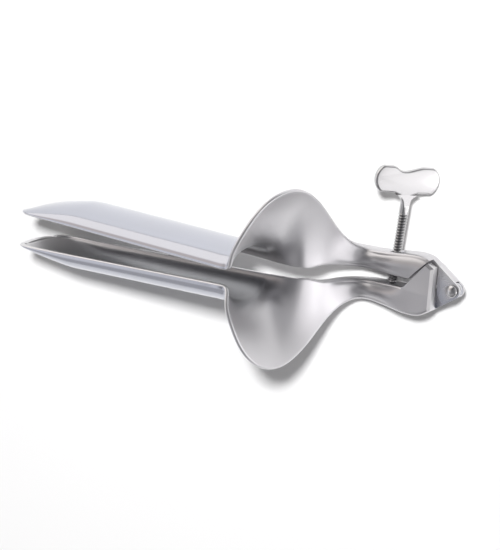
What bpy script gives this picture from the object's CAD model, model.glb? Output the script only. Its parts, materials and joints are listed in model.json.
"""Looks of the anal speculum: finely lofted steel valves, a threaded wing screw, a domed rivet.

The valves are drawn closed in the instrument's own frame: X runs from the blade tips to the
hinge, Y runs from the mouth's near side to the arms, and Z is the upper valve's side.
"""

import json
import math

import bmesh
import bpy
import numpy as np
from mathutils import Matrix, Vector

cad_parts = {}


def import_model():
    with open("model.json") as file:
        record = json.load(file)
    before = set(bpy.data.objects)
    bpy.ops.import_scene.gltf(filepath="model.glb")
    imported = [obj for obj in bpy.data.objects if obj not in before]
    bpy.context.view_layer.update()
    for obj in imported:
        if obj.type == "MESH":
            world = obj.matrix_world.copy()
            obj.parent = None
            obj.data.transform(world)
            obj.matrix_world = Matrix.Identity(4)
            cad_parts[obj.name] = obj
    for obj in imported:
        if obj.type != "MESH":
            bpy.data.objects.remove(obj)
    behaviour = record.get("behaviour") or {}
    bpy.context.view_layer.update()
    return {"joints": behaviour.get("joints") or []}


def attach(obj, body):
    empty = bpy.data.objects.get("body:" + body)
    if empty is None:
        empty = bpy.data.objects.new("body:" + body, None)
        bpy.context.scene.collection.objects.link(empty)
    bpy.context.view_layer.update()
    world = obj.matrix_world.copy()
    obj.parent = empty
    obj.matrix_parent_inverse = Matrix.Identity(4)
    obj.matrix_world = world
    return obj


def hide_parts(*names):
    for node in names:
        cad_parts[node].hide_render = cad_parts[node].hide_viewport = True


MM = 0.001

# Blades
BLADE_LENGTH = 88.6 * MM
MOUTH_WIDTH = 28.4 * MM
TIP_WIDTH = 28.5 * MM
MOUTH_DEPTH = 8.0 * MM
TIP_DEPTH = 7.1 * MM
NOSE_PLAN_LENGTH = 12.8 * MM
NOSE_SIDE_LENGTH = 23.5 * MM
NOSE_PLAN_FULLNESS = 4.4
NOSE_SIDE_FULLNESS = 1.4
NOSE_WALL = 2.0 * MM
WALL = 1.4 * MM
SPLIT_GAP = 0.4 * MM

# Flared lobes at the mouth
LOBE_HEIGHT = 29.3 * MM
LOBE_REACH = 12.9 * MM
LOBE_FLARE = 1.9 * MM
LOBE_LEAN = 2.8 * MM
MOUTH_CORNER_RADIUS = 1.9 * MM

# Arms
ARM_NEAR = 33.0 * MM
ARM_WIDTH = 9.2 * MM
ARM_START = 30.0 * MM
ARM_SPLIT_GAP = 1.6 * MM
NECK_HEIGHT = 8.0 * MM
SHOULDER_HEIGHT = 10.1 * MM
ARM_EDGE_RADIUS = 1.2 * MM
ARM_CROWN = 0.9 * MM

# Where sections sit before the mouth and along the arm, as shares of blade and arm
LEAD_SHARES = (0.14, 0.09, 0.055)
ARM_SHARES = (0.0, 0.3, 0.6, 0.85, 1.0)

# Steps from the neck's far side to its near one, as shares of the arm's width
NECK_PUSHES = [(0.37, -0.27), (0.27, -0.74), (0.08, -1.0)]

# Hinge
HINGE_X = 60.3 * MM
EAR_THICKNESS = 1.3 * MM
TONGUE_THICKNESS = 1.5 * MM
PLAY = 0.3 * MM
HINGE_END_RADIUS = 2.9 * MM
EAR_SWING_RADIUS = 5.6 * MM
SHOULDER_DROP = 2.7 * MM
CHEEK_LEAN = 7.8 * MM
CHEEK_GAP = 0.45 * MM
CHEEK_CHAMFER = 0.9 * MM
GROUND_MARGIN = 0.1 * MM
LIP_Z = 0.12 * MM
ROOT_OVERLAP = 4.0 * MM
RIVET_RADIUS = 1.3 * MM
RIVET_HEAD_RADIUS = 2.2 * MM
RIVET_HEAD_HEIGHT = 1.0 * MM
RIVET_COLLAR = 0.15 * MM
REST_OPENING = math.radians(4.24)

# Wing screw
SCREW_TO_HINGE = 22.5 * MM
SCREW_RADIUS = 1.75 * MM
SCREW_LENGTH = 26.1 * MM
THREAD_PITCH = 1.02 * MM
THREAD_DEPTH = 0.6 * MM
THREAD_CREST = 0.12 * MM
COUNTERSINK_RADIUS = 2.7 * MM
SEAT_SPHERE_RADIUS = 3.0 * MM
SEAT_DEPTH = 0.6 * MM
WING_SPAN = 24.6 * MM
WING_HEIGHT = 9.4 * MM
WING_NOTCH = 1.7 * MM
WING_THICKNESS = 2.2 * MM
WING_EDGE_RADIUS = 0.7 * MM
WING_SKEW = 1.5 * MM
WING_OFFSET = 0.7 * MM
WING_LIFT = 0.6 * MM
WING_FOOT = 1.2 * MM
NECK_LENGTH = 5.9 * MM
NECK_FILLET = 2.8 * MM
WING_TURN = math.radians(51.0)

# Fineness of the meshes
SECTION_SEGMENTS = 40
NOSE_ROWS = 36
BLADE_ROWS = 24
LOBE_ROWS = 150
EDGE_STEPS = 5
TABLE_BLUR = 6
ROUND_SEGMENTS = 96
SHARP_ANGLE = math.radians(32)

# Steel: scales of brushing, blasting and clouding per metre, spread of the tone, special tones
BRUSH_SCALE = (60, 2600, 2600)
BLAST_SCALE = 5200.0
CLOUD_SCALE = 70.0
TONE_SPREAD = 0.25
GROUND_TONE = (0.92, 0.91, 0.92, 1.0)
WORN_TONE = (0.9, 0.9, 0.91, 1.0)
DULL_TONE = (0.5, 0.49, 0.48, 1.0)

# The photograph
PHOTO_SIZE = (500, 550)
SENSOR_WIDTH = 36.0
CAMERA_AZIMUTH = math.radians(27.996)
CAMERA_ELEVATION = math.radians(13.043)
CAMERA_ROLL = math.radians(6.283)
CAMERA_DISTANCE = 600.0 * MM
CAMERA_AIM = Vector((0, 10.0 * MM, 0))
CAMERA_SCALE = 2.886 / MM
CAMERA_CENTRE = (260.907, 267.734)

# The studio: floor, key light and room colours, then the soft panels, each one with its
# direction, the angles in degrees at which it is full and gone, and its colour
FLOOR_SIZE = 1.5
FLOOR_GLOW = 0.04
FLOOR_FILL = 0.5
KEY_PLACE = (0.12, 0.40, 1.11)
KEY_SIZE = (0.14, 0.14)
KEY_ENERGY = 14.7
ROOM_LOW = (0.56, 0.56, 0.575, 1)
ROOM_HIGH = (0.46, 0.455, 0.465, 1)
STUDIO_PANELS = [
    ((0.15, 0.84, 0.50), 12, 32, (0.16, 0.16, 0.17, 1)),
    ((-0.05, -0.90, 0.42), 12, 26, (0.22, 0.22, 0.23, 1)),
    ((-0.10, 0.00, 0.99), 16, 38, (0.20, 0.20, 0.21, 1)),
    ((0.40, -0.55, 0.74), 8, 24, (0.25, 0.25, 0.26, 1)),
    ((-0.30, 0.50, 0.82), 10, 26, (0.10, 0.10, 0.11, 1)),
    ((0.90, 0.42, 0.12), 10, 28, (0.40, 0.40, 0.41, 1)),
    ((-0.82, -0.22, 0.50), 16, 32, (0.92, 0.92, 0.95, 1)),
    ((-0.50, -0.42, 0.76), 5, 14, (0.28, 0.28, 0.29, 1)),
    ((-0.64, 0.66, 0.36), 21, 38, (1.37, 1.32, 1.27, 1)),
    ((-0.69, 0.10, 0.71), 7, 13, (0.80, 0.72, 0.68, 1)),
    ((0.89, -0.22, 0.38), 14, 23, (1.46, 1.44, 1.46, 1)),
    ((0.98, -0.14, 0.07), 6, 12, (3.00, 2.95, 3.00, 1)),
]

ARM_FAR = ARM_NEAR + ARM_WIDTH
ARM_MIDDLE = ARM_NEAR + ARM_WIDTH / 2
SCREW_X = HINGE_X - SCREW_TO_HINGE
RIM_Z = SPLIT_GAP / 2 + 0.4 * WALL
ARM_FACE_Z = ARM_SPLIT_GAP / 2
BODY_END_X = HINGE_X - EAR_SWING_RADIUS - PLAY
FAR_EAR = (ARM_FAR - EAR_THICKNESS, ARM_FAR)
TONGUE = (FAR_EAR[0] - PLAY - TONGUE_THICKNESS, FAR_EAR[0] - PLAY)
NEAR_EAR = (TONGUE[0] - PLAY - EAR_THICKNESS, TONGUE[0] - PLAY)
CHEEK = (ARM_NEAR, NEAR_EAR[0] - PLAY)
HINGE = Vector((HINGE_X, (NEAR_EAR[0] + FAR_EAR[1]) / 2, 0))


def mesh_object(name, bm):
    """Turn a bmesh into a smooth-shaded object with its faces pointing out."""
    bmesh.ops.recalc_face_normals(bm, faces=bm.faces)
    mesh = bpy.data.meshes.new(name)
    bm.to_mesh(mesh)
    bm.free()
    item = bpy.data.objects.new(name, mesh)
    bpy.context.scene.collection.objects.link(item)
    return item


def prism(name, outline, low, high, edge=0.0):
    """Extrude an outline of (x, z) points along Y, with its edges rounded by edge."""
    bm = bmesh.new()
    face = bm.faces.new([bm.verts.new((x, low, z)) for x, z in outline])
    grown = bmesh.ops.extrude_face_region(bm, geom=[face])
    moved = [v for v in grown["geom"] if isinstance(v, bmesh.types.BMVert)]
    bmesh.ops.translate(bm, vec=(0, high - low, 0), verts=moved)
    item = mesh_object(name, bm)
    if edge:
        soften(item, edge)
    return item


def apply_modifiers(item):
    view = bpy.context.evaluated_depsgraph_get()
    result = bpy.data.meshes.new_from_object(item.evaluated_get(view))
    item.modifiers.clear()
    item.data = result


def soften(item, edge, angle=30):
    """Round the sharp edges of an object."""
    bevel = item.modifiers.new("Soft edges", "BEVEL")
    bevel.width = edge
    bevel.segments = 3
    bevel.limit_method = "ANGLE"
    bevel.angle_limit = math.radians(angle)
    apply_modifiers(item)


def turned(name, profile, segments=ROUND_SEGMENTS):
    """Turn a profile of (radius, z) points about Z. Its ends lie on the axis."""
    bm = bmesh.new()
    verts = [bm.verts.new((radius, 0, z)) for radius, z in profile]
    edges = [bm.edges.new(pair) for pair in zip(verts, verts[1:])]
    bmesh.ops.spin(
        bm, geom=verts + edges, cent=(0, 0, 0), axis=(0, 0, 1),
        angle=math.tau, steps=segments, use_merge=True,
    )
    bmesh.ops.remove_doubles(bm, verts=bm.verts, dist=1e-6)
    return mesh_object(name, bm)


def combine(item, tool, operation):
    """Apply an exact Boolean of tool to item, and remove the tool."""
    modifier = item.modifiers.new(operation.title(), "BOOLEAN")
    modifier.operation = operation
    modifier.solver = "EXACT"
    modifier.object = tool
    apply_modifiers(item)
    bpy.data.objects.remove(tool, do_unlink=True)


def move(item, matrix):
    item.data.transform(matrix)
    return item


def spline(keys, places):
    """Natural cubic spline through the keys, one row each, read at places from 0 to 1."""
    keys = np.asarray(keys, float)
    count = len(keys)
    middle = keys.reshape(count, -1, 3).mean(axis=1)
    knots = np.concatenate([[0], np.cumsum(np.linalg.norm(np.diff(middle, axis=0), axis=1) ** 0.5)])
    knots /= knots[-1]
    gap = np.diff(knots)
    system = np.eye(count)
    right = np.zeros_like(keys)
    for i in range(1, count - 1):
        system[i, i - 1 : i + 2] = gap[i - 1], 2 * (gap[i - 1] + gap[i]), gap[i]
        right[i] = 6 * ((keys[i + 1] - keys[i]) / gap[i] - (keys[i] - keys[i - 1]) / gap[i - 1])
    bend = np.linalg.solve(system, right)
    rows = []
    for place in places:
        i = min(np.searchsorted(knots, place, side="right") - 1, count - 2)
        a = (knots[i + 1] - place) / gap[i]
        b = 1 - a
        curve = (a**3 - a) * bend[i] + (b**3 - b) * bend[i + 1]
        rows.append(a * keys[i] + b * keys[i + 1] + curve * gap[i] ** 2 / 6)
    return np.array(rows), knots


def nose_factor(along, length, fullness):
    """Share of the full size at a distance along from the tip."""
    n = np.clip((length - along) / length, 0, 1)
    return (1 - n**fullness) ** (1 / fullness)


def blade_controls(x, tip_x, wall):
    """Four control points of the blade's half-oval section at x, inset by wall."""
    along = x - tip_x
    share = (x + BLADE_LENGTH) / BLADE_LENGTH
    inset = -BLADE_LENGTH - tip_x
    half = (TIP_WIDTH + (MOUTH_WIDTH - TIP_WIDTH) * share) / 2 - wall
    depth = TIP_DEPTH + (MOUTH_DEPTH - TIP_DEPTH) * share - wall
    half *= nose_factor(along, NOSE_PLAN_LENGTH + inset, NOSE_PLAN_FULLNESS)
    depth *= nose_factor(along, NOSE_SIDE_LENGTH + inset, NOSE_SIDE_FULLNESS)
    rim = min(RIM_Z, SPLIT_GAP / 2 + depth)
    rise = rim + max(depth - rim, 0.0) * 4 / 3
    return [(x, -half, rim), (x, -half, rise), (x, half, rise), (x, half, rim)]


def lobe_keys():
    """Control points of the sections from the mouth over the lobe to the arm's start."""
    half = MOUTH_WIDTH / 2
    reach = LOBE_REACH
    height = LOBE_HEIGHT
    depth = MOUTH_DEPTH
    lean = LOBE_LEAN
    sweep = ARM_FAR - half
    neck = ARM_START - reach
    near = -half - LOBE_FLARE
    top = NECK_HEIGHT - ARM_EDGE_RADIUS
    face = ARM_FACE_Z + ARM_EDGE_RADIUS
    mean_x = reach + 0.58 * neck
    corner = MOUTH_CORNER_RADIUS
    return [
        ((-0.8 * corner, -half, RIM_Z + 0.03 * corner), (-0.7 * corner, -0.99 * half, 1.33 * depth),
         (-0.6 * corner, half, 1.32 * depth), (-0.6 * corner, half, RIM_Z)),
        ((0.05 * corner, -half - 0.08 * LOBE_FLARE, RIM_Z + 0.55 * corner),
         (-0.05 * corner, -0.96 * half, 1.36 * depth),
         (0.05 * corner, half, 1.32 * depth), (0.05 * corner, half, RIM_Z)),
        ((0.10 * reach, near + 0.2 * MM, 0.21 * height), (0.08 * reach, -0.88 * half, 1.4 * depth),
         (0.06 * reach, half, 1.38 * depth), (0.06 * reach, half, RIM_Z)),
        ((0.24 * reach, near, 0.39 * height), (0.18 * reach, -0.69 * half, 1.46 * depth),
         (0.16 * reach, 0.95 * half, 1.46 * depth), (0.2 * reach, half, RIM_Z)),
        ((0.48 * reach, 0.82 * near, 0.69 * height), (0.33 * reach, -0.37 * half, 1.6 * depth),
         (0.33 * reach, 0.9 * half, 1.58 * depth), (0.45 * reach, half * 1.01, RIM_Z)),
        ((0.74 * reach, 0.44 * near, 0.925 * height), (0.5 * reach, 0.02 * half, 1.95 * depth),
         (0.55 * reach, 0.9 * half, 1.7 * depth), (0.68 * reach, half * 1.03, RIM_Z)),
        ((reach, lean, height), (0.74 * reach, 0.42 * half, 2.3 * depth),
         (0.82 * reach, 0.97 * half, 1.76 * depth), (0.9 * reach, half + 0.05 * sweep, RIM_Z)),
        ((reach + 0.16 * neck, half + 0.03 * sweep, 0.81 * height),
         (reach, 0.95 * half, 2.0 * depth), (reach + 0.02 * neck, half + 0.1 * sweep, 1.15 * depth),
         (reach + 0.06 * neck, half + 0.14 * sweep, RIM_Z)),
        ((reach + 0.29 * neck, half + 0.36 * sweep, 0.51 * height),
         (reach + 0.17 * neck, half + 0.27 * sweep, 1.3 * depth),
         (reach + 0.18 * neck, half + 0.3 * sweep, 0.65 * depth),
         (reach + 0.2 * neck, half + 0.32 * sweep, face)),
        ((reach + 0.44 * neck, half + 0.65 * sweep, top + 0.075 * height),
         (reach + 0.35 * neck, half + 0.585 * sweep, 0.7 * top),
         (reach + 0.35 * neck, half + 0.585 * sweep, 0.45 * top),
         (reach + 0.36 * neck, half + 0.59 * sweep, face)),
        ((mean_x + 0.09 * neck, half + 0.9 * sweep, top + 0.01 * height),
         (mean_x + 0.05 * neck, half + 0.87 * sweep, 0.7 * top),
         (mean_x + 0.05 * neck, half + 0.87 * sweep, 0.4 * top),
         (mean_x + 0.05 * neck, half + 0.87 * sweep, face)),
    ]


def arm_key(x, height):
    """Control points of the arm's far side at x, for an arm of that height."""
    low = ARM_FACE_Z + ARM_EDGE_RADIUS
    high = height - ARM_EDGE_RADIUS
    steps = [high, high + (low - high) / 3, high + (low - high) * 2 / 3, low]
    return [(x, ARM_FAR, z) for z in steps]


def arm_height(x):
    """Height of the arm's outer side above the parting plane at x."""
    places = [ARM_START, SCREW_X, HINGE_X - 1.7 * SHOULDER_HEIGHT, HINGE_X - 1.1 * SHOULDER_HEIGHT]
    rise = SHOULDER_HEIGHT - NECK_HEIGHT
    sizes = [NECK_HEIGHT, NECK_HEIGHT + 0.45 * rise, NECK_HEIGHT + 0.96 * rise, SHOULDER_HEIGHT]
    if x > places[-1]:
        fall = (x - places[-1]) / (BODY_END_X - places[-1])
        return SHOULDER_HEIGHT - SHOULDER_DROP * fall**1.6
    return float(np.interp(x, places, sizes))


def valve_rows(end_x):
    """Control points of every section from the tip to end_x, with its wall and how it is set in."""
    turns = np.linspace(0, math.pi / 2, NOSE_ROWS + 1)
    run = NOSE_SIDE_LENGTH
    outer, inner = [], []
    for turn in turns:
        outer.append(blade_controls(-BLADE_LENGTH + run * (1 - math.cos(turn)), -BLADE_LENGTH, 0))
        tip_x = -BLADE_LENGTH + NOSE_WALL
        inner_x = tip_x + (run - NOSE_WALL) * (1 - math.cos(turn))
        inner.append(blade_controls(inner_x, tip_x, WALL))
    start = -BLADE_LENGTH + run
    lead = [-share * BLADE_LENGTH for share in LEAD_SHARES]
    for x in np.linspace(start, lead[0], BLADE_ROWS + 1)[1:]:
        outer.append(blade_controls(x, -BLADE_LENGTH, 0))
        inner.append(blade_controls(x, -BLADE_LENGTH, WALL))
    keys = [blade_controls(x, -BLADE_LENGTH, 0) for x in lead] + lobe_keys()
    thin = len(keys) - 2
    walls = [WALL] * (thin - 2) + [1.1 * WALL, 1.6 * WALL, 0.46 * ARM_WIDTH, 0.79 * ARM_WIDTH]
    solid = len(ARM_SHARES) + 2
    pushes = [(0, 0)] * thin + NECK_PUSHES + [(0, -1)] * (solid - len(NECK_PUSHES))
    held = [0.0] * thin + [1.0] * solid
    for share in ARM_SHARES:
        x = ARM_START + (end_x - ARM_START) * share
        keys.append(arm_key(x, arm_height(x)))
        walls.append(ARM_WIDTH)
    flat = [np.ravel(key) for key in keys]
    places = np.linspace(0, 1, LOBE_ROWS + 1)[1:]
    rows, knots = spline(flat, places)
    outer += [row.reshape(4, 3) for row in rows]
    plain = NOSE_ROWS + 1 + BLADE_ROWS
    columns = np.column_stack([walls, np.array(pushes) * ARM_WIDTH, held])
    table = np.column_stack([np.interp(places, knots, column) for column in columns.T])
    reach = np.arange(-3 * TABLE_BLUR, 3 * TABLE_BLUR + 1)
    weights = np.exp(-0.5 * (reach / TABLE_BLUR) ** 2)
    padded = np.pad(table, ((len(reach) // 2,) * 2, (0, 0)), mode="edge")
    table = np.column_stack([np.convolve(c, weights / weights.sum(), "valid") for c in padded.T])
    table = np.concatenate([np.tile([WALL, 0, 0, 0], (plain, 1)), table])
    return np.array(outer, float), np.array(inner, float), table


def section(controls, shares):
    """Points and slopes of a cubic Bezier section."""
    t = np.asarray(shares)[:, None]
    p0, p1, p2, p3 = controls
    points = (1 - t) ** 3 * p0 + 3 * (1 - t) ** 2 * t * p1 + 3 * (1 - t) * t**2 * p2 + t**3 * p3
    slopes = 3 * ((1 - t) ** 2 * (p1 - p0) + 2 * (1 - t) * t * (p2 - p1) + t**2 * (p3 - p2))
    return points, slopes


def unit(vectors):
    size = np.linalg.norm(vectors, axis=-1, keepdims=True)
    return vectors / np.maximum(size, 1e-12)


def edge_round(outside, inside, along, wall):
    """Points of a rounded edge from the outer surface to the inner one."""
    across = unit(inside - outside)
    radius = min(ARM_EDGE_RADIUS, 0.42 * wall)
    turns = np.linspace(0, math.pi / 2, EDGE_STEPS + 1)[1:]
    first = [outside + along * radius * math.sin(a) + across * radius * (1 - math.cos(a)) for a in turns]
    last = [inside + along * radius * math.sin(a) - across * radius * (1 - math.cos(a)) for a in turns]
    return first + last[::-1]


def valve_shell(name, end_x, crown_end):
    """Blade, lobe and arm of the upper valve as one lofted body, its arm crowned up to crown_end."""
    controls, inner_controls, table = valve_rows(end_x)
    walls = table[:, 0]
    shares = np.linspace(0, 1, SECTION_SEGMENTS + 1)
    pairs = [section(row, shares) for row in controls]
    outer = np.array([pair[0] for pair in pairs])
    across = np.array([pair[1] for pair in pairs])
    forward = np.gradient(outer, axis=0)
    normals = unit(np.cross(forward, across))
    normals[0] = (-1, 0, 0)
    inner = outer - normals * walls[:, None, None]
    for i, row in enumerate(inner_controls):
        plain = section(row, shares)[0]
        mix = np.clip((outer[i, 0, 0] / BLADE_LENGTH + 0.7) / 0.4, 0, 1)
        inner[i] = plain * (1 - mix) + inner[i] * mix
    for i, (_, push_x, push_y, held) in enumerate(table):
        inner[i] += (outer[i] + (push_x, push_y, 0) - inner[i]) * held
        fade = np.clip((crown_end - inner[i, :, 0]) / NECK_HEIGHT, 0, 1)
        inner[i, :, 1] += held * ARM_CROWN * np.abs(2 * shares - 1) ** 2.2 * fade * fade * (3 - 2 * fade)
    rail = unit(forward)
    slant = np.sum(unit(across) * rail, axis=-1, keepdims=True) * (1 - table[:, 3, None, None])
    down = unit(unit(across) - rail * slant)
    down[0, :] = (0, 0, -1)
    first_edge = -down[:, 0]
    first_edge[0] = (0, 0, -1)
    last_edge = down[:, -1]
    bm = bmesh.new()
    polish = bm.verts.layers.float.new("polish")
    edge = bm.verts.layers.float.new("edge")
    deep = bm.verts.layers.float.new("deep")
    rings = []
    for i in range(len(outer)):
        far = edge_round(outer[i, -1], inner[i, -1], last_edge[i], walls[i])
        near = edge_round(outer[i, 0], inner[i, 0], first_edge[i], walls[i])
        ring = list(outer[i]) + far + list(inner[i][::-1]) + near[::-1]
        outside = 1.0 - float(np.clip(outer[i, :, 0].mean() / (0.4 * LOBE_REACH), 0, 1))
        along = float(outer[i, :, 0].mean()) / LOBE_REACH
        fade = float(np.clip((0.8 - along) / 0.5, 0, 1))
        bottom = MOUTH_DEPTH * (0.4 + float(np.clip(2.5 * along, 0, 0.6)))
        chord = unit(inner[i, -1] - inner[i, 0])
        away = inner[i] - inner[i, 0]
        sunk = np.linalg.norm(away - np.outer(away @ chord, chord), axis=1) / bottom
        verts = []
        for j, point in enumerate(ring):
            vert = bm.verts.new((point[0], point[1], max(point[2], LIP_Z)))
            on_edge = len(outer[i]) <= j < len(outer[i]) + len(far) or j >= len(ring) - len(near)
            vert[polish] = outside if j < len(outer[i]) else 0.0
            vert[edge] = outside if on_edge else 0.0
            back = len(outer[i]) + len(far) + len(inner[i]) - 1 - j
            vert[deep] = fade * min(1.0, float(sunk[back])) if 0 <= back < len(inner[i]) else 0.0
            verts.append(vert)
        rings.append(verts)
    size = len(rings[0])
    for a, b in zip(rings, rings[1:]):
        for j in range(size):
            k = (j + 1) % size
            bm.faces.new((a[j], a[k], b[k], b[j]))
    bm.faces.new(rings[-1])
    bmesh.ops.remove_doubles(bm, verts=bm.verts, dist=1e-6)
    bmesh.ops.dissolve_degenerate(bm, edges=bm.edges, dist=1e-7)
    return mesh_object(name, bm)


def arc(centre, radius, start, stop, steps):
    """Points on an arc, angles in degrees from +X towards +Z."""
    angles = np.radians(np.linspace(start, stop, steps + 1))
    return [(centre[0] + radius * math.cos(a), centre[1] + radius * math.sin(a)) for a in angles]


def lean_angle():
    """Slope of the ear's upper edge, from the shoulder to the hinge's round end."""
    run = HINGE_X - BODY_END_X
    drop = SHOULDER_HEIGHT - SHOULDER_DROP
    return math.degrees(math.atan2(drop, run)) - math.degrees(
        math.asin(min(0.9, HINGE_END_RADIUS / math.hypot(run, drop)))
    )


def ear_outline():
    """Side view of an ear: shoulder, sloping top, round end and the arc that swings clear."""
    hinge = (HINGE_X, 0)
    top = 90 - lean_angle()
    outline = [(BODY_END_X - ROOT_OVERLAP, SHOULDER_HEIGHT - 0.25 * SHOULDER_DROP - 0.4 * MM)]
    outline.append((BODY_END_X, SHOULDER_HEIGHT - SHOULDER_DROP))
    outline += arc(hinge, HINGE_END_RADIUS, top, -top, 24)
    outline += arc(hinge, EAR_SWING_RADIUS, 245, 172, 24)
    outline.append((BODY_END_X - ROOT_OVERLAP, ARM_FACE_Z + 0.1 * MM))
    return outline


def tongue_outline(margin=0.0):
    """Side view of the tongue between the ears, grown by margin."""
    hinge = (HINGE_X, 0)
    radius = HINGE_END_RADIUS + margin
    low = SHOULDER_HEIGHT - SHOULDER_DROP
    outline = [(BODY_END_X - ROOT_OVERLAP, -ARM_FACE_Z + margin)]
    outline.append((BODY_END_X, -0.2 * MM + margin))
    outline += arc(hinge, radius, 110, -45, 28)
    outline.append((BODY_END_X, -low - margin))
    outline.append((BODY_END_X - ROOT_OVERLAP, -low - margin))
    return outline


def cheek_outline(margin=0.0):
    """Side view of the block that stands beside the near ear."""
    top_x = BODY_END_X - 0.42 * (HINGE_X - BODY_END_X) - margin
    top = arm_height(top_x) - 0.35 * MM
    foot_x = top_x - CHEEK_LEAN
    low = -ARM_FACE_Z - 2.0 * ARM_EDGE_RADIUS
    return [
        (foot_x - 1.0 * MM, low),
        (foot_x - 1.0 * MM, -ARM_FACE_Z + margin),
        (foot_x, -ARM_FACE_Z + 0.3 * MM + margin),
        (top_x, top),
        (BODY_END_X, SHOULDER_HEIGHT - SHOULDER_DROP),
        (BODY_END_X, low),
    ]


def chamfer_wedge(start, stop):
    """Wedge that takes the near edge off the cheek, along a line of its outline."""
    start, stop = Vector((start[0], ARM_NEAR, start[1])), Vector((stop[0], ARM_NEAR, stop[1]))
    along = (stop - start).normalized()
    out = along.cross(Vector((0, 1, 0)))
    out *= 1 if out.x + out.z > 0 else -1
    near = Vector((0, -1, 0))
    start, stop = start - along * MM * 0.4, stop + along * MM * 0.4
    shape = [
        (-CHEEK_CHAMFER, 0), (-CHEEK_CHAMFER - MM, MM), (MM, MM),
        (MM, -CHEEK_CHAMFER - MM), (0, -CHEEK_CHAMFER),
    ]
    bm = bmesh.new()
    rings = [[bm.verts.new(end + out * a + near * b) for a, b in shape] for end in (start, stop)]
    bm.faces.new(rings[0])
    bm.faces.new(rings[1][::-1])
    for j in range(len(shape)):
        k = (j + 1) % len(shape)
        bm.faces.new((rings[0][j], rings[1][j], rings[1][k], rings[0][k]))
    return mesh_object("wedge", bm)


def upper_valve():
    """Shell with room for the cheek, two ears with a slot between them, and both holes."""
    item = valve_shell("upper_valve_forging", BODY_END_X, HINGE_X)
    foot, heel, top = [cheek_outline(CHEEK_GAP)[k] for k in (1, 2, 3)]
    slope = (top[0] - heel[0]) / (top[1] - heel[1])
    high = SHOULDER_HEIGHT * 1.5
    cut = [
        (foot[0] - 1.0 * MM, -MM), (heel[0], heel[1]), (top[0], top[1]),
        (top[0] + slope * (high - top[1]), high), (HINGE_X, high), (HINGE_X, -MM),
    ]
    combine(item, prism("cheek_space", cut, ARM_NEAR - 3 * MM, NEAR_EAR[0]), "DIFFERENCE")
    combine(item, prism("ears", ear_outline(), NEAR_EAR[0], FAR_EAR[1]), "UNION")
    slot = tongue_outline(PLAY)
    slot = slot[:2] + arc((HINGE_X, 0), HINGE_END_RADIUS + PLAY, 110, 60, 12)
    end = HINGE_X + 2 * HINGE_END_RADIUS
    slot += [(end, slot[-1][1]), (end, -2 * SHOULDER_HEIGHT), (slot[0][0], -2 * SHOULDER_HEIGHT)]
    combine(item, prism("slot", slot, NEAR_EAR[1], FAR_EAR[0]), "DIFFERENCE")
    rivet_hole = turned("rivet_hole", rod_profile(RIVET_RADIUS + PLAY, ARM_WIDTH * 2))
    move(rivet_hole, Matrix.Translation((HINGE_X, ARM_NEAR, 0)) @ Matrix.Rotation(-math.pi / 2, 4, "X"))
    combine(item, rivet_hole, "DIFFERENCE")
    screw_hole = turned("screw_hole", screw_hole_profile())
    move(screw_hole, Matrix.Translation((SCREW_X, ARM_MIDDLE, 0)))
    combine(item, screw_hole, "DIFFERENCE")
    return item


def lower_valve():
    """Mirrored shell with a chamfered cheek, the tongue, its hole and the screw's dimple."""
    item = valve_shell("lower_valve_forging", BODY_END_X, cheek_outline()[2][0])
    move(item, Matrix.Scale(-1, 4, (0, 0, 1)))
    item.data.flip_normals()
    combine(item, prism("cheek", cheek_outline(), *CHEEK), "UNION")
    side = (BODY_END_X, SHOULDER_HEIGHT * 2)
    combine(item, chamfer_wedge(side, (BODY_END_X, -SHOULDER_HEIGHT * 2)), "DIFFERENCE")
    top, shoulder = cheek_outline()[3:5]
    combine(item, chamfer_wedge(top, shoulder), "DIFFERENCE")
    combine(item, prism("tongue", tongue_outline(), *TONGUE), "UNION")
    hole = turned("tongue_hole", rod_profile(RIVET_RADIUS + PLAY, ARM_WIDTH * 2))
    move(hole, Matrix.Translation((HINGE_X, ARM_NEAR, 0)) @ Matrix.Rotation(-math.pi / 2, 4, "X"))
    combine(item, hole, "DIFFERENCE")
    seat = turned("seat", ball_profile(SEAT_SPHERE_RADIUS))
    lift = SEAT_SPHERE_RADIUS - SEAT_DEPTH - ARM_FACE_Z
    move(seat, Matrix.Translation((SCREW_X, ARM_MIDDLE, lift)))
    combine(item, seat, "DIFFERENCE")
    ground = item.data.attributes.new("ground", "FLOAT", "POINT")
    for vert in item.data.vertices:
        behind = BODY_END_X - vert.co.x
        on_face = -GROUND_MARGIN < behind < CHEEK_CHAMFER + GROUND_MARGIN
        ground.data[vert.index].value = float(on_face and vert.co.y < NEAR_EAR[1])
    return item


def rod_profile(radius, length):
    return [(0, 0), (radius, 0), (radius, length), (0, length)]


def ball_profile(radius):
    angles = np.linspace(-math.pi / 2, math.pi / 2, 33)
    return [(radius * math.cos(a) if abs(a) < 1.57 else 0.0, radius * math.sin(a)) for a in angles]


def screw_hole_profile():
    """The tapped hole with a countersink at the arm's outer side."""
    bore = SCREW_RADIUS + PLAY
    outside = arm_height(SCREW_X)
    sink = COUNTERSINK_RADIUS - bore
    return [
        (0, -MM), (bore, -MM), (bore, outside - sink),
        (COUNTERSINK_RADIUS + MM, outside + MM), (0, outside + MM),
    ]


def hinge_rivet():
    """Pin with two domed heads, drawn along Z and turned onto the hinge's axis."""
    reach = (FAR_EAR[1] - NEAR_EAR[0]) / 2 + PLAY
    dome = []
    for a in np.linspace(0, math.pi / 2, 20):
        dome.append((RIVET_HEAD_RADIUS * math.cos(a), reach + RIVET_COLLAR + RIVET_HEAD_HEIGHT * math.sin(a)))
    dome[-1] = (0.0, dome[-1][1])
    half = [(RIVET_RADIUS, reach), (RIVET_HEAD_RADIUS, reach)] + dome
    profile = [(r, -z) for r, z in reversed(half)] + half
    item = turned("hinge_rivet_domed", profile)
    return move(item, Matrix.Translation(HINGE) @ Matrix.Rotation(-math.pi / 2, 4, "X"))


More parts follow.
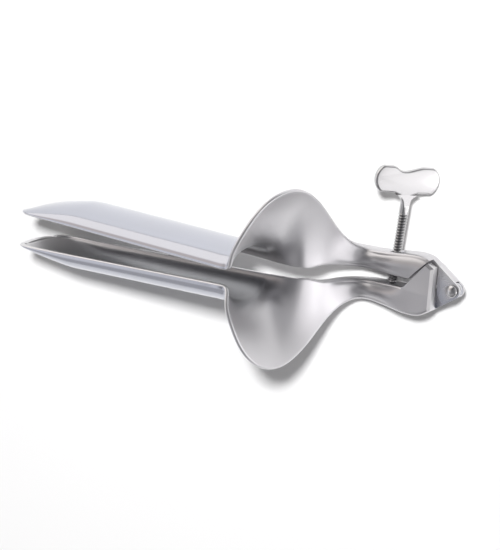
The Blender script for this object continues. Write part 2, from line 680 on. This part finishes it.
def wing_outline():
    """Front view of the wing: two round lobes, a shallow notch and a foot inside the neck."""
    half = WING_SPAN / 2
    radius = WING_HEIGHT / 2
    reach = 0.72 * radius
    top = NECK_LENGTH + WING_HEIGHT
    notch = top - WING_NOTCH
    lobe = []
    for a in np.radians(np.linspace(-100, 85, 37)):
        fold = 1.0 - 0.1 * math.sin(a) ** 2
        lobe.append((half - reach + reach * math.cos(a) * fold, NECK_LENGTH + radius + radius * math.sin(a)))
    waist = []
    for share in np.linspace(0.52, 0.08, 13):
        dip = 0.5 + 0.5 * math.cos(math.pi * min(1.0, share / 0.52))
        waist.append((share * half, top - WING_NOTCH * dip))
    skew = [(w - WING_SKEW * (top - z) / WING_NOTCH, z) for w, z in waist]
    foot = [(0.7 * SCREW_RADIUS, NECK_LENGTH - WING_FOOT), (SCREW_RADIUS + NECK_FILLET, NECK_LENGTH)]
    right = foot + lobe + skew
    left = [(-w - WING_SKEW * (top - z) / WING_NOTCH, z) for w, z in reversed(waist)]
    left += [(-w, z) for w, z in reversed(foot + lobe)]
    return right + [(-WING_SKEW, notch)] + left


def neck_profile(steps):
    """Profile of the neck, which flares from the rod to the foot of the wing."""
    base = SCREW_LENGTH + NECK_LENGTH - NECK_FILLET
    profile = []
    for a in np.linspace(0, math.pi / 2, steps):
        profile.append((SCREW_RADIUS + NECK_FILLET * (1 - math.cos(a)), base + NECK_FILLET * math.sin(a)))
    return profile


def neck_slab():
    """The two planes that flatten the neck into the wing, as a block seen from the side."""
    start = SCREW_LENGTH - 0.4 * MM
    end = SCREW_LENGTH + NECK_LENGTH
    wide = 2 * (SCREW_RADIUS + NECK_FILLET)
    thin = 0.48 * WING_THICKNESS
    right = [(wide, -MM), (wide, start), (SCREW_RADIUS, start), (thin, end), (thin, end + WING_HEIGHT)]
    outline = right + [(-y, z) for y, z in reversed(right)]
    return move(prism("neck_slab", outline, -wide, wide), Matrix.Rotation(math.pi / 2, 4, "Z"))


def threaded_rod():
    """Rod with a helical thread and a flared neck, drawn along Z from its rounded tip."""
    per_turn = 12
    rows = [(0.3 * SCREW_RADIUS, 0.0)]
    for a in np.radians(np.linspace(-60, 0, 8)):
        rows.append((SCREW_RADIUS * math.cos(a), SCREW_RADIUS * (1 + math.sin(a)) * 0.8))
    start = rows[-1][1]
    neck = neck_profile(16)
    end = neck[0][1]
    count = int((end - start) / THREAD_PITCH * per_turn)
    rows += [(SCREW_RADIUS, z) for z in np.linspace(start, end, count)[1:-1]]
    rows += neck
    last_turn = SCREW_LENGTH - 0.5 * THREAD_PITCH
    bm = bmesh.new()
    deep = bm.verts.layers.float.new("deep")
    rings = []
    for radius, z in rows:
        ring = []
        for turn in np.linspace(0, math.tau, ROUND_SEGMENTS, endpoint=False):
            fade = np.clip((z - 0.5 * start) / THREAD_PITCH, 0, 1)
            fade *= np.clip((last_turn - z) / THREAD_PITCH, 0, 1)
            phase = (z / THREAD_PITCH - turn / math.tau) % 1.0
            valley = 1 - abs(2 * phase - 1)
            r = radius + fade * (THREAD_CREST - THREAD_DEPTH * valley)
            vert = bm.verts.new((r * math.cos(turn), r * math.sin(turn), z))
            vert[deep] = fade * valley
            ring.append(vert)
        rings.append(ring)
    for a, b in zip(rings, rings[1:]):
        for j in range(ROUND_SEGMENTS):
            k = (j + 1) % ROUND_SEGMENTS
            bm.faces.new((a[j], a[k], b[k], b[j]))
    bm.faces.new(rings[0])
    bm.faces.new(rings[-1])
    return mesh_object("wing_screw_threaded", bm)


def wing_screw():
    """Wing and rod as one piece, drawn with the rod's tip at the origin."""
    item = threaded_rod()
    combine(item, neck_slab(), "INTERSECT")
    wing = prism("wing", wing_outline(), -WING_THICKNESS / 2, WING_THICKNESS / 2, WING_EDGE_RADIUS)
    move(wing, Matrix.Translation((-WING_OFFSET, 0, SCREW_LENGTH + WING_LIFT)))
    combine(item, wing, "UNION")
    return item


class Nodes:
    """Small helper that adds and joins the nodes of one material."""

    def __init__(self, tree):
        self.tree = tree

    def add(self, kind, settings=None, **inputs):
        node = self.tree.nodes.new(kind)
        for name, value in (settings or {}).items():
            setattr(node, name, value)
        for name, value in inputs.items():
            self.link(value, node.inputs[name.replace("_", " ")])
        return node

    def link(self, value, socket):
        if isinstance(value, bpy.types.NodeSocket):
            self.tree.links.new(value, socket)
        else:
            socket.default_value = value

    def math(self, operation, a, b=0.0, clamp=False):
        node = self.tree.nodes.new("ShaderNodeMath")
        node.operation = operation
        node.use_clamp = clamp
        self.link(a, node.inputs[0])
        self.link(b, node.inputs[1])
        return node.outputs[0]

    def mix(self, share, a, b):
        node = self.tree.nodes.new("ShaderNodeMix")
        node.data_type = "RGBA"
        self.link(share, node.inputs["Factor"])
        self.link(a, node.inputs["A"])
        self.link(b, node.inputs["B"])
        return node.outputs["Result"]


def steel(name, turn, satin, polished, sunk, satin_rough, polished_rough, grain):
    """Steel that is polished where the "polish" attribute is 1 and satin where it is 0.

    The "edge" attribute makes a rim paler, "deep" darkens channels and the thread's grooves,
    and "ground" marks the pale, dull face of the cheek's step.
    """
    material = bpy.data.materials.new(name)
    material.use_nodes = True
    nodes = Nodes(material.node_tree)
    shader = material.node_tree.nodes["Principled BSDF"]
    shader.inputs["Metallic"].default_value = 1.0
    place = nodes.add("ShaderNodeTexCoord").outputs["Object"]
    along = nodes.add("ShaderNodeMapping", Vector=place, Rotation=turn, Scale=BRUSH_SCALE).outputs[0]
    brushed = nodes.add("ShaderNodeTexNoise", Vector=along, Scale=1.0, Detail=3.0).outputs["Fac"]
    blasted = nodes.add("ShaderNodeTexNoise", Vector=place, Scale=BLAST_SCALE, Detail=2.0).outputs["Fac"]
    clouds = nodes.add("ShaderNodeTexNoise", Vector=place, Scale=CLOUD_SCALE, Detail=3.0).outputs["Fac"]
    polish = nodes.add("ShaderNodeAttribute", {"attribute_name": "polish"}).outputs["Fac"]
    edge = nodes.add("ShaderNodeAttribute", {"attribute_name": "edge"}).outputs["Fac"]
    tone = nodes.math("MULTIPLY_ADD", clouds, TONE_SPREAD)
    tone.node.inputs[2].default_value = -TONE_SPREAD / 2
    base = nodes.mix(polish, satin, polished)
    deep = nodes.add("ShaderNodeAttribute", {"attribute_name": "deep"}).outputs["Fac"]
    base = nodes.mix(nodes.math("MULTIPLY", deep, 0.75), base, sunk)
    normal = nodes.add("ShaderNodeTexCoord").outputs["Normal"]
    facing = nodes.add("ShaderNodeMapping", Vector=normal, Rotation=turn).outputs[0]
    toward_x = nodes.add("ShaderNodeSeparateXYZ", Vector=facing).outputs["X"]
    ground = nodes.add("ShaderNodeAttribute", {"attribute_name": "ground"}).outputs["Fac"]
    ground = nodes.math("MULTIPLY", nodes.math("GREATER_THAN", toward_x, 0.4), ground, True)
    base = nodes.mix(ground, base, GROUND_TONE)
    base = nodes.mix(nodes.math("MULTIPLY", edge, 0.45), base, WORN_TONE)
    base = nodes.mix(nodes.math("ADD", tone, 0.12, True), base, DULL_TONE)
    nodes.link(base, shader.inputs["Base Color"])
    rough = nodes.math("MULTIPLY_ADD", polish, polished_rough - satin_rough)
    rough.node.inputs[2].default_value = satin_rough
    rough = nodes.math("ADD", rough, nodes.math("MULTIPLY", tone, 0.3))
    rough = nodes.math("ADD", rough, nodes.math("MULTIPLY", nodes.math("SUBTRACT", brushed, 0.5), 0.1))
    rough = nodes.math("ADD", rough, nodes.math("MULTIPLY", ground, 0.3))
    nodes.link(nodes.math("MAXIMUM", rough, 0.04), shader.inputs["Roughness"])
    grains = nodes.math("ADD", nodes.math("MULTIPLY", brushed, 0.6), nodes.math("MULTIPLY", blasted, 0.4))
    height = nodes.math("MULTIPLY", grains, nodes.math("SUBTRACT", 1.0, nodes.math("MULTIPLY", polish, 0.85)))
    bump = nodes.add("ShaderNodeBump", Height=height, Strength=grain, Distance=0.00002).outputs[0]
    nodes.link(bump, shader.inputs["Normal"])
    return material


def finish_piece(item, material, body, node, pose):
    """Pose a piece, shade it, and let it stand for its CAD node."""
    move(item, pose)
    item.data.materials.clear()
    item.data.materials.append(material)
    item.data.shade_smooth()
    item.data.set_sharp_from_angle(angle=SHARP_ANGLE)
    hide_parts(node)
    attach(item, body)
    return item


def floor(size):
    """A plain pale floor that keeps the shadow and shows white to camera and gloss."""
    bm = bmesh.new()
    bmesh.ops.create_grid(bm, x_segments=1, y_segments=1, size=size)
    item = mesh_object("floor", bm)
    material = bpy.data.materials.new("pale_floor")
    material.use_nodes = True
    tree = material.node_tree
    nodes = Nodes(tree)
    tree.nodes.clear()
    path = nodes.add("ShaderNodeLightPath")
    seen = nodes.math("MAXIMUM", path.outputs["Is Camera Ray"], path.outputs["Is Glossy Ray"])
    seen = nodes.math("MAXIMUM", seen, path.outputs["Is Transmission Ray"])
    pale = nodes.add("ShaderNodeBsdfDiffuse", Color=(0.86, 0.86, 0.86, 1)).outputs[0]
    white = nodes.add("ShaderNodeEmission", Color=(1, 1, 1, 1), Strength=1.0).outputs[0]
    share = nodes.math("MULTIPLY", seen, FLOOR_GLOW)
    both = nodes.add("ShaderNodeMixShader")
    nodes.link(share, both.inputs[0])
    nodes.link(pale, both.inputs[1])
    nodes.link(white, both.inputs[2])
    out = nodes.add("ShaderNodeOutputMaterial")
    nodes.link(both.outputs[0], out.inputs["Surface"])
    item.data.materials.append(material)


def area_light(name, place, aim, size, energy, colour=(1, 1, 1)):
    data = bpy.data.lights.new(name, "AREA")
    data.shape = "RECTANGLE"
    data.size, data.size_y = size
    data.energy = energy
    data.color = colour
    item = bpy.data.objects.new(name, data)
    item.location = place
    item.rotation_euler = (Vector(aim) - Vector(place)).to_track_quat("-Z", "Y").to_euler()
    item.visible_glossy = False
    bpy.context.scene.collection.objects.link(item)


def world():
    """Studio surroundings: an even grey room with soft boxes and dark flags around the table."""
    sky = bpy.data.worlds.new("studio")
    bpy.context.scene.world = sky
    sky.use_nodes = True
    tree = sky.node_tree
    nodes = Nodes(tree)
    where = nodes.add("ShaderNodeTexCoord").outputs["Generated"]
    height = nodes.add("ShaderNodeSeparateXYZ", Vector=where).outputs["Z"]
    colour = nodes.mix(nodes.math("MULTIPLY", height, 1.0, True), ROOM_LOW, ROOM_HIGH)
    for direction, inner, outer, shade in STUDIO_PANELS:
        facing = nodes.add("ShaderNodeVectorMath", {"operation": "DOT_PRODUCT"})
        nodes.link(where, facing.inputs[0])
        nodes.link(Vector(direction).normalized(), facing.inputs[1])
        soft = nodes.add("ShaderNodeMapRange", {"interpolation_type": "SMOOTHSTEP"})
        nodes.link(facing.outputs["Value"], soft.inputs["Value"])
        soft.inputs["From Min"].default_value = math.cos(math.radians(outer))
        soft.inputs["From Max"].default_value = math.cos(math.radians(inner))
        colour = nodes.mix(soft.outputs["Result"], colour, shade)
    nodes.link(colour, tree.nodes["Background"].inputs["Color"])
    bounce = nodes.add("ShaderNodeLightPath").outputs["Is Diffuse Ray"]
    dim = nodes.math("MULTIPLY", bounce, FLOOR_FILL - 1.0)
    nodes.link(nodes.math("ADD", dim, 1.0), tree.nodes["Background"].inputs["Strength"])


def camera(frame_pose):
    """The photograph's camera, fitted in the instrument's own frame."""
    a, e, r = CAMERA_AZIMUTH, CAMERA_ELEVATION, CAMERA_ROLL
    right = Vector((math.cos(a), math.sin(a), 0))
    up = Vector((-math.sin(a) * math.sin(e), math.cos(a) * math.sin(e), math.cos(e)))
    back = Vector((math.sin(a) * math.cos(e), -math.cos(a) * math.cos(e), math.sin(e)))
    across = right * math.cos(r) + up * math.sin(r)
    upward = up * math.cos(r) - right * math.sin(r)
    data = bpy.data.cameras.new("photo_camera")
    data.sensor_fit = "HORIZONTAL"
    data.sensor_width = SENSOR_WIDTH
    data.lens = CAMERA_SCALE * CAMERA_DISTANCE * SENSOR_WIDTH / PHOTO_SIZE[0]
    data.shift_x = (PHOTO_SIZE[0] / 2 - CAMERA_CENTRE[0]) / PHOTO_SIZE[0]
    data.shift_y = (CAMERA_CENTRE[1] - PHOTO_SIZE[1] / 2) / PHOTO_SIZE[0]
    data.clip_start = 0.01
    item = bpy.data.objects.new("photo_camera", data)
    bpy.context.scene.collection.objects.link(item)
    turn = Matrix((across, upward, back)).transposed().to_4x4()
    item.matrix_world = frame_pose @ Matrix.Translation(CAMERA_AIM + back * CAMERA_DISTANCE) @ turn
    bpy.context.scene.camera = item


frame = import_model()

joints = {joint["name"]: joint for joint in frame["joints"]}
hinge_place = Vector(joints["valve_hinge"]["pos_m"])
across = -Vector(joints["valve_hinge"]["axis"]).normalized()
upward = -Vector(joints["screw_travel"]["axis"]).normalized()
along = across.cross(upward)
to_hinge = Matrix.Translation(hinge_place) @ Matrix((along, across, upward)).transposed().to_4x4()
upper_pose = to_hinge @ Matrix.Translation(-HINGE)
lower_pose = to_hinge @ Matrix.Rotation(-REST_OPENING, 4, "Y") @ Matrix.Translation(-HINGE)
frame_pose = to_hinge @ Matrix.Rotation(-REST_OPENING / 2, 4, "Y") @ Matrix.Translation(-HINGE)
seat_z = -(ARM_FACE_Z + SEAT_DEPTH) * math.cos(REST_OPENING) - SCREW_TO_HINGE * math.sin(REST_OPENING)
screw_pose = (
    upper_pose @ Matrix.Translation((SCREW_X, ARM_MIDDLE, seat_z + PLAY)) @ Matrix.Rotation(WING_TURN, 4, "Z")
)

blade_turn = tuple(frame_pose.inverted().to_euler())
forged = steel(
    "forged_steel", blade_turn, satin=(0.69, 0.68, 0.70, 1), polished=(0.54, 0.555, 0.62, 1),
    sunk=(0.33, 0.34, 0.36, 1), satin_rough=0.35, polished_rough=0.14, grain=0.12,
)
bright = steel(
    "bright_steel", blade_turn, satin=(0.65, 0.645, 0.65, 1), polished=(0.65, 0.645, 0.65, 1),
    sunk=(0.12, 0.12, 0.13, 1), satin_rough=0.20, polished_rough=0.12, grain=0.12,
)

finish_piece(upper_valve(), forged, "upper", "upper_valve", upper_pose)
finish_piece(lower_valve(), forged, "lower", "lower_valve", lower_pose)
finish_piece(hinge_rivet(), bright, "upper", "hinge_rivet", upper_pose)
finish_piece(wing_screw(), bright, "screw", "wing_screw", screw_pose)

floor(FLOOR_SIZE)
world()
area_light("key", KEY_PLACE, (0, 0, 0), KEY_SIZE, KEY_ENERGY)
camera(frame_pose)
bpy.context.scene.view_settings.view_transform = "Standard"
